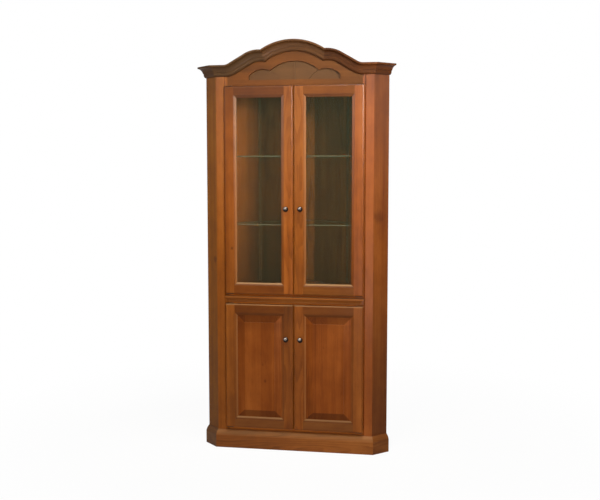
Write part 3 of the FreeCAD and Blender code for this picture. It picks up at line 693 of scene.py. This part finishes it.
def cutSlot(bm, head):
    for side in (-0.5, 0.5):
        tops = topFaces(bm)
        edges = dict.fromkeys(edge for face in tops for edge in face.edges)
        verts = dict.fromkeys(vert for face in tops for vert in face.verts)
        bmesh.ops.bisect_plane(bm, geom=tops + list(edges) + list(verts),
                               plane_co=(0, side * head["slot"], 0), plane_no=(0, 1, 0))
    middle = min(topFaces(bm), key=lambda face: abs(face.calc_center_median().y))
    bmesh.ops.inset_individual(bm, faces=[middle], thickness=head["slot"] * headForm["slotInset"],
                               depth=-head["height"] * headForm["slotDepth"])


def headShape(head):
    bm = bmesh.new()
    bmesh.ops.create_cone(bm, cap_ends=True, segments=headForm["sides"], radius1=head["radius"],
                          radius2=head["radius"] * headForm["taper"], depth=head["height"])
    rim = [edge for edge in bm.edges if all(vert.co.z > 0 for vert in edge.verts)]
    bmesh.ops.bevel(bm, geom=rim, offset=head["height"] * headForm["rim"], segments=headForm["rimSteps"],
                    profile=0.5, affect="EDGES", material=-1)
    if head["slot"]:
        cutSlot(bm, head)
    return bm


def fasten(name, head, spots, body):
    bm = headShape(head)
    masterVerts = bm.verts[:]
    master = masterVerts + bm.edges[:] + bm.faces[:]
    for spot, facing in spots:
        copied = bmesh.ops.duplicate(bm, geom=master)["geom"]
        verts = [part for part in copied if isinstance(part, bmesh.types.BMVert)]
        out = Vector(facing)
        turn = out.to_track_quat("Z", "Y").to_matrix().to_4x4()
        put = Matrix.Translation(Vector(spot) + out * (head["height"] / 2)) @ turn
        bmesh.ops.transform(bm, matrix=put, verts=verts)
    bmesh.ops.delete(bm, geom=masterVerts, context="VERTS")
    addPiece(name, bm, screwMetal, body)


def leafSpots(door, sign):
    low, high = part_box(door + "_hinge_stile")
    edge = low[0] if sign < 0 else high[0]
    heights = (low[2] + hingeScrew["rise"], high[2] - hingeScrew["rise"])
    leafFace = high[1] + hingeScrew["gap"]
    return [((edge - sign * inset, leafFace, height), (0, -1, 0))
            for height in heights for inset in hingeScrew["fromEdge"]]


def knobSpot(door):
    low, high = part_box(door + "_knob")
    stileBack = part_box(door + "_meeting_stile")[1][1]
    return (((low[0] + high[0]) / 2, stileBack, (low[2] + high[2]) / 2), (0, 1, 0))


def nailSpots(side, sign):
    facing = Vector((sign, 1, 0)).normalized()
    along = Vector((-sign, 1, 0)).normalized()
    corners = [vert.co for vert in nodes[side + "_back_panel"].data.vertices]
    out = max(corner.dot(facing) for corner in corners)
    reach = [corner.dot(along) for corner in corners if corner.dot(facing) > out - backNail["flush"]]
    bottom = min(corner.z for corner in corners) + backNail["fromEnd"]
    top = max(corner.z for corner in corners) - backNail["fromEnd"]
    step = (top - bottom) / (backNail["rows"] - 1)
    columns = (min(reach) + backNail["fromEdge"], max(reach) - backNail["fromEdge"])
    return [(facing * out + along * column + Vector((0, 0, bottom + row * step)), facing)
            for column in columns for row in range(backNail["rows"])]


hingeSpots = []
backSpots = []
for side, sign in sides.items():
    for level in levels:
        door = side + "_" + level + "_door"
        hingeSpots += leafSpots(door, sign)
        fasten(door + "_knob_screw", knobScrew, [knobSpot(door)], door)
    backSpots += nailSpots(side, sign)
fasten("hinge_screws", hingeScrew, hingeSpots, "carcase")
fasten("back_nails", backNail, backSpots, "carcase")
print("fasteners:", len(hingeSpots), "hinge screws,", len(backSpots), "nails")

# Floor and air: white to the eye, the floor keeps a soft shadow and is painted a little darker near the
# cabinet's foot
studio = {"floorSize": 24.0, "floorTint": (242, 242, 240), "nearWhite": 0.95, "near": 0.6, "far": 2.4,
          "air": 0.05}


def backdropRays(wire):
    cameraRay = wire.make("ShaderNodeLightPath", out="Is Camera Ray")
    glossyRay = wire.make("ShaderNodeLightPath", out="Is Glossy Ray")
    transmissionRay = wire.make("ShaderNodeLightPath", out="Is Transmission Ray")
    return wire.maths("MAXIMUM", wire.maths("MAXIMUM", cameraRay, glossyRay), transmissionRay)


def paleFloor():
    material, wire = newMaterial("pale_floor")
    matte = wire.make("ShaderNodeBsdfDiffuse", {}, {"Color": colour(*studio["floorTint"])})
    glow = wire.make("ShaderNodeEmission", {}, {"Color": colour(*white), "Strength": 1.0})
    # painted shadow: the plain white falls off towards the cabinet's foot
    away = wire.length(objectPlace(wire))
    whiteShare = wire.span(away, studio["near"], studio["far"], studio["nearWhite"], kind="SMOOTHSTEP")
    seen = backdropRays(wire) * whiteShare
    finishMaterial(wire, wire.make("ShaderNodeMixShader", {}, {0: seen, 1: matte, 2: glow}))
    bm = bmesh.new()
    bmesh.ops.create_grid(bm, x_segments=1, y_segments=1, size=studio["floorSize"])
    putObject("floor", bm, material)


def whiteAir():
    world = bpy.data.worlds.new("air")
    bpy.context.scene.world = world
    world.use_nodes = True
    world.node_tree.nodes.clear()
    wire = Wire(world.node_tree)
    strength = backdropRays(wire) * (1 - studio["air"]) + studio["air"]
    glow = wire.make("ShaderNodeBackground", {}, {"Color": colour(*white), "Strength": strength})
    wire.make("ShaderNodeOutputWorld", {}, {"Surface": glow})


paleFloor()
whiteAir()
print("floor and air done")

# Lamps: a soft key and a tall strip from the right, two overhead, a low one in front, one left, one behind
lamps = {
    "key": {"place": (1.6, -3.02, 2.4), "aim": (0.3, -0.25, 1.92), "size": (1.2, 1.4),
            "power": 8.0, "spread": 46},
    "strip": {"place": (1.98, -2.48, 1.4), "aim": (-0.2, -0.25, 1.4), "size": (0.25, 1.6),
              "power": 2.0, "spread": 60, "tint": (255, 226, 190)},
    "brow": {"place": (-0.5, -2.15, 3.4), "aim": (0.0, -0.25, 0.6), "size": (1.4, 0.45),
             "power": 3.4, "spread": 50, "tint": (255, 228, 188)},
    "high": {"place": (0.5, -0.75, 4.2), "aim": (0.0, -0.25, 1.2), "size": (1.4, 0.5),
             "power": 22.0, "spread": 90},
    "low": {"place": (0.56, -3.4, 0.5), "aim": (0.0, -0.25, 0.8), "size": (1.2, 0.8),
            "power": 6.5, "spread": 100},
    "left": {"place": (-2.9, -1.03, 1.8), "aim": (0.0, -0.1, 1.2), "size": (1.2, 1.8),
             "power": 4.0, "spread": 120},
    "behind": {"place": (0.6, 3.4, 2.6), "aim": (0.0, 0.3, 1.1), "size": (1.6, 1.6),
               "power": 14.0, "spread": 100},
}


def hangLamp(name, lamp):
    light = bpy.data.lights.new(name, "AREA")
    light.shape = "RECTANGLE"
    light.size, light.size_y = lamp["size"]
    light.energy = lamp["power"]
    light.spread = math.radians(lamp["spread"])
    light.color = linear(*lamp.get("tint", white))
    holder = bpy.data.objects.new(name, light)
    holder.location = lamp["place"]
    beam = Vector(lamp["aim"]) - Vector(lamp["place"])
    holder.rotation_euler = beam.to_track_quat("-Z", "Y").to_euler()
    bpy.context.scene.collection.objects.link(holder)


for lampName, lamp in lamps.items():
    hangLamp(lampName, lamp)
print("lamps:", len(lamps))

# Camera, to the cabinet's right at two thirds of its height, looking a little down
view = {"place": (0.838, -4.854, 1.483), "down": 5.12, "turn": 9.9, "lens": 54.47, "sensor": 36.0}
cameraData = bpy.data.cameras.new("camera")
cameraData.sensor_fit = "HORIZONTAL"
cameraData.sensor_width = view["sensor"]
cameraData.lens = view["lens"]
camera = bpy.data.objects.new("camera", cameraData)
camera.location = view["place"]
camera.rotation_euler = (math.radians(90 - view["down"]), 0, math.radians(view["turn"]))
bpy.context.scene.collection.objects.link(camera)
bpy.context.scene.camera = camera
bpy.context.scene.view_settings.view_transform = "Standard"
print("camera set")
